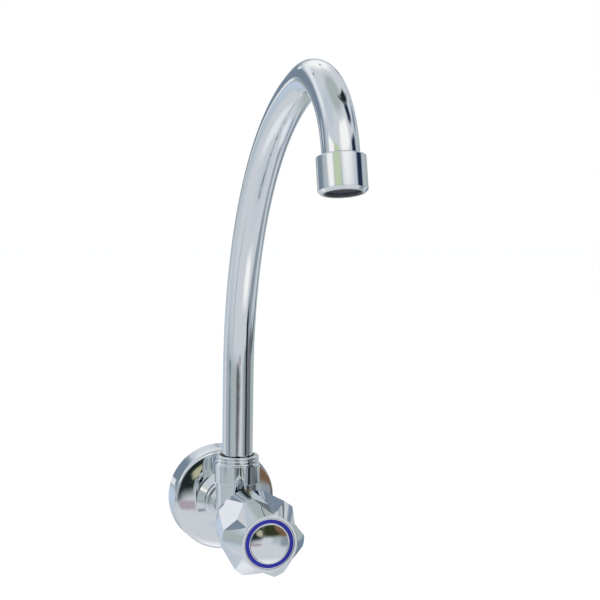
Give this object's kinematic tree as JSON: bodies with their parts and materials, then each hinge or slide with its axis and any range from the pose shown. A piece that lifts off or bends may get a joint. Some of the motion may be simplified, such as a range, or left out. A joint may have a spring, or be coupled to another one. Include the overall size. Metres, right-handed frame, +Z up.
{
  "type": "wall-mounted swan-neck tap",
  "caption": "Chromed single-supply wall tap: cup flange, side body with a six-lobed faceted knob, and a tall swivelling swan-neck spout with an aerator.",
  "frame": {"origin": "where the inlet's axis meets the wall", "axes": "+Z up; -Y straight out of the wall towards the user; +X to the user's right"},
  "size_m": [0.0668, 0.2779, 0.3054],
  "materials": {
    "chrome_flange": "polished",
    "chrome_body": "polished",
    "chrome_nut": "polished",
    "chrome_spout": "polished",
    "chrome_aerator": "polished",
    "chrome_knob": "polished",
    "chrome_cap": "polished",
    "blue_ring": "gloss",
    "brass_foot": "machined",
    "chrome_outlet": "polished",
    "chrome_bonnet": "polished",
    "brass_spindle": "machined",
    "brass_plunger": "machined",
    "brass_nut": "machined",
    "rubber_rings": "matt",
    "rubber_gasket": "matt",
    "rubber_washer": "matt",
    "plastic_rings": "matt",
    "plastic_insert": "matt",
    "plastic_breaker": "matt",
    "steel_mesh": "bright",
    "steel_clip": "bright",
    "steel_screw": "bright",
    "thrust_washer": "matt",
    "fibre_gasket": "matt"
  },
  "bodies": {
    "tap_body": {"wall_flange": "chrome_flange", "valve_body": "chrome_body", "bonnet": "chrome_bonnet", "bonnet_gasket": "fibre_gasket", "spout_nut": "chrome_nut"},
    "handle": {"knob_shell": "chrome_knob", "knob_insert": "plastic_insert", "index_ring": "blue_ring", "index_cap": "chrome_cap", "knob_screw": "steel_screw", "screw_washer": "steel_screw", "spindle": "brass_spindle", "spindle_o_rings": "rubber_rings", "spindle_circlip": "steel_clip", "spindle_washer": "thrust_washer"},
    "plunger": {"valve_plunger": "brass_plunger", "seat_washer": "rubber_washer", "washer_nut": "brass_nut"},
    "spout": {"spout_tube": "chrome_spout", "spout_foot": "brass_foot", "spout_o_rings": "rubber_rings", "spout_slip_ring": "plastic_rings", "spout_seat_ring": "plastic_rings", "outlet_sleeve": "chrome_outlet", "aerator_housing": "chrome_aerator", "aerator_gasket": "rubber_gasket", "aerator_insert": "plastic_breaker", "aerator_screens": "steel_mesh"}
  },
  "joints": [
    {"name": "knob_turn", "type": "hinge", "parent": "tap_body", "child": "handle", "pos_m": [0, -0.1, 0], "axis": [0, -1, 0], "range_deg": [0, 900]},
    {"name": "washer_lift", "type": "slide", "parent": "tap_body", "child": "plunger", "axis": [0, -1, 0], "range_m": [0, 0.004]},
    {"name": "spout_swivel", "type": "hinge", "parent": "tap_body", "child": "spout", "pos_m": [0, -0.0485, 0.03], "axis": [0, 0, 1], "range_deg": [-90, 90]}
  ],
  "couplings": [
    {"joint": "washer_lift", "follows": "knob_turn", "m_per_rad": 0.00025465}
  ]
}
